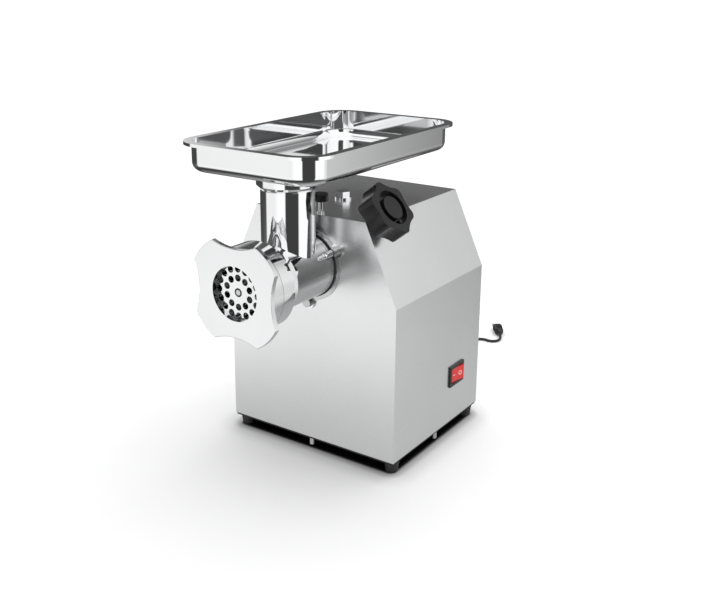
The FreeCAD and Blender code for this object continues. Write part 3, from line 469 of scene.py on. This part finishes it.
def fade_out(tree, amount, shader):
    """The shader where the amount is 1, and nothing where it is 0."""
    clear = tree.nodes.new("ShaderNodeBsdfTransparent")
    blend = tree.nodes.new("ShaderNodeMixShader")
    output = tree.nodes.new("ShaderNodeOutputMaterial")
    tree.links.new(amount, blend.inputs[0])
    tree.links.new(clear.outputs[0], blend.inputs[1])
    tree.links.new(shader.outputs[0], blend.inputs[2])
    tree.links.new(blend.outputs[0], output.inputs["Surface"])


def make_floor():
    """A pale floor out to the horizon, which the steel doesn't mirror."""
    mesh = bmesh.new()
    bmesh.ops.create_circle(mesh, cap_ends=True, segments=96, radius=80.0)
    material, tree, shader = new_material("floor_paint")
    tinted(tree, shader, noise(tree, 3.0), (0.90, 0.90, 0.90), (0.91, 0.91, 0.91))
    shader.inputs["Roughness"].default_value = 0.75
    shader.inputs["Specular IOR Level"].default_value = 0.2
    floor = stage_sheet("floor", mesh, (0, 0, -0.0002), material)
    floor.visible_glossy = False


def make_contact_shade():
    """Painted shade: a near-black sheet on the floor under the base for its deep shade, soft at its border.
    """
    half_base, reach = (0.100, 0.086, 0), 0.04
    mesh = bmesh.new()
    bmesh.ops.create_grid(mesh, x_segments=1, y_segments=1, size=0.5)
    material, tree = fading_material("contact_shade")
    place = tree.nodes.new("ShaderNodeTexCoord").outputs["Object"]
    apart = vector_math(tree, "ABSOLUTE", place)["Vector"]
    beyond = vector_math(tree, "SUBTRACT", apart, half_base)["Vector"]
    outside = vector_math(tree, "MAXIMUM", beyond)["Vector"]
    distance = spread(tree, vector_math(tree, "LENGTH", outside)["Value"], 0.0, 1.0, 0.0, reach)
    amount = ramp(tree, distance, [(0.0, 1.0), (0.10, 0.95), (0.24, 0.24), (0.5, 0.06), (1.0, 0.0)])
    dark = tree.nodes.new("ShaderNodeBsdfDiffuse")
    tree.links.new(ramp(tree, noise(tree, 30.0, 2.0), [(0.0, 0.004), (1.0, 0.008)]), dark.inputs["Color"])
    fade_out(tree, amount, dark)
    stage_sheet("contact_shade", mesh, (0, 0.0615, -0.0001), material)


def make_painted_reflection_disc():
    """Painted reflection: a glowing disc that only mirrored rays see, which stands in for the floor's soft
    shade beside the body in the steel and fades outwards.
    """
    near, far = 0.14, 0.46
    mesh = bmesh.new()
    bmesh.ops.create_circle(mesh, cap_ends=True, segments=64, radius=0.5)
    material, tree = fading_material("floor_painted_reflection")
    place = tree.nodes.new("ShaderNodeTexCoord").outputs["Object"]
    amount = spread(tree, vector_math(tree, "LENGTH", place)["Value"], 1.0, 0.0, near, far)
    # Painted reflection: an unlit emission grey that the steel mirrors as the shaded floor.
    tone = tree.nodes.new("ShaderNodeEmission")
    tone.inputs["Strength"].default_value = 1.0
    tree.links.new(ramp(tree, noise(tree, 3.0, 2.0), [(0.0, 0.50), (1.0, 0.54)]), tone.inputs["Color"])
    fade_out(tree, amount, tone)
    shade = stage_sheet("floor_painted_reflection", mesh, (0, 0.06, -0.00015), material)
    shade.visible_camera = False
    shade.visible_diffuse = False
    shade.visible_transmission = False
    shade.visible_shadow = False


# ---------------------------------------------------------------- lights and surroundings
# Brightness round the studio at three heights, as (degrees from +X towards +Y, brightness).
BELOW = [(-180, 0.10), (-158, 0.20), (-149, 1.00), (-112, 0.97), (-84, 1.15), (-66, 1.15), (-61, 0.05),
         (-10, 0.05), (-5, 1.1), (30, 1.05), (50, 0.80), (59, 0.58), (66, 0.36), (80, 0.15), (120, 0.08)]
LEVEL = [(-180, 0.06), (-156, 0.06), (-150, 0.95), (-112, 0.92), (-84, 1.15), (-66, 1.15), (-61, 0.05),
         (-10, 0.05), (-5, 1.1), (30, 1.10), (44, 0.80), (54, 0.62), (64, 0.17), (76, 0.10), (120, 0.08),
         (160, 0.06)]
ABOVE = [(-180, 0.85), (-166, 0.12), (-108, 0.10), (-98, 0.90), (-66, 1.1), (-60, 0.06), (-38, 0.06),
         (-32, 1.1), (30, 1.05), (54, 0.80), (70, 0.40), (92, 0.20), (112, 0.10), (130, 0.09), (136, 0.95)]
ZENITH, NADIR = 1.15, 0.05


def mirrored_studio(tree, place):
    """A white studio with dark areas, which the steel mirrors. Heights run from 0, down, to 1, up."""
    split = tree.nodes.new("ShaderNodeSeparateXYZ")
    tree.links.new(place, split.inputs[0])
    around = tree.nodes.new("ShaderNodeMath")
    around.operation = "ARCTAN2"
    tree.links.new(split.outputs["Y"], around.inputs[0])
    tree.links.new(split.outputs["X"], around.inputs[1])
    turn = spread(tree, around.outputs[0], 0.0, 1.0, -math.pi, math.pi)
    height = spread(tree, split.outputs["Z"], 0.0, 1.0, -1.0, 1.0)

    bands = []
    for stops in (BELOW, LEVEL, ABOVE):
        shares = [((degrees + 180.0) / 360.0, brightness) for degrees, brightness in stops]
        bands.append(ramp(tree, turn, shares, False))
    below, level, above = bands
    sides = mixed(tree, ramp(tree, height, [(0.47, 0.0), (0.57, 1.0)]), level, above)
    sides = mixed(tree, ramp(tree, height, [(0.33, 1.0), (0.40, 0.0)]), sides, below)
    sides = mixed(tree, ramp(tree, height, [(0.86, 0.0), (0.92, 1.0)]), sides, grey(tree, ZENITH))
    return mixed(tree, ramp(tree, height, [(0.20, 1.0), (0.29, 0.0)]), sides, grey(tree, NADIR))


def soft_sky(tree, place):
    """Light that is strongest from overhead and a little behind, for all that isn't a mirror."""
    overhead = vector_math(tree, "DOT_PRODUCT", place, (-0.04, 0.25, 0.967))["Value"]
    return ramp(tree, overhead, [(0.0, 0.32), (0.35, 0.60), (0.7, 1.20), (1.0, 1.95)], False)


def make_surroundings():
    """The mirrored studio for glossy rays, plain white for the camera and the soft sky for the rest."""
    world = bpy.data.worlds.new("studio")
    scene.world = world
    world.use_nodes = True
    tree = world.node_tree
    tree.nodes.clear()
    place = tree.nodes.new("ShaderNodeTexCoord").outputs["Generated"]
    path = tree.nodes.new("ShaderNodeLightPath")
    unmirrored = mixed(tree, path.outputs["Is Camera Ray"], soft_sky(tree, place), grey(tree, 1.0))
    seen = mixed(tree, path.outputs["Is Glossy Ray"], unmirrored, mirrored_studio(tree, place))
    background = tree.nodes.new("ShaderNodeBackground")
    background.inputs["Strength"].default_value = 1.0
    output = tree.nodes.new("ShaderNodeOutputWorld")
    tree.links.new(seen, background.inputs["Color"])
    tree.links.new(background.outputs[0], output.inputs["Surface"])


def make_key_light():
    """A broad soft lamp overhead, which the steel doesn't mirror."""
    place, target = Vector((0.2, 0.9, 2.2)), Vector((0, 0, 0.1))
    data = bpy.data.lights.new("key", "AREA")
    data.shape = "RECTANGLE"
    data.size = data.size_y = 1.8
    data.energy = 6.0
    light = bpy.data.objects.new("key", data)
    scene.collection.objects.link(light)
    light.location = place
    light.rotation_euler = (target - place).to_track_quat("-Z", "Y").to_euler()
    light.visible_glossy = False


make_floor()
make_contact_shade()
make_painted_reflection_disc()
make_surroundings()
make_key_light()
scene.view_settings.view_transform = "Standard"
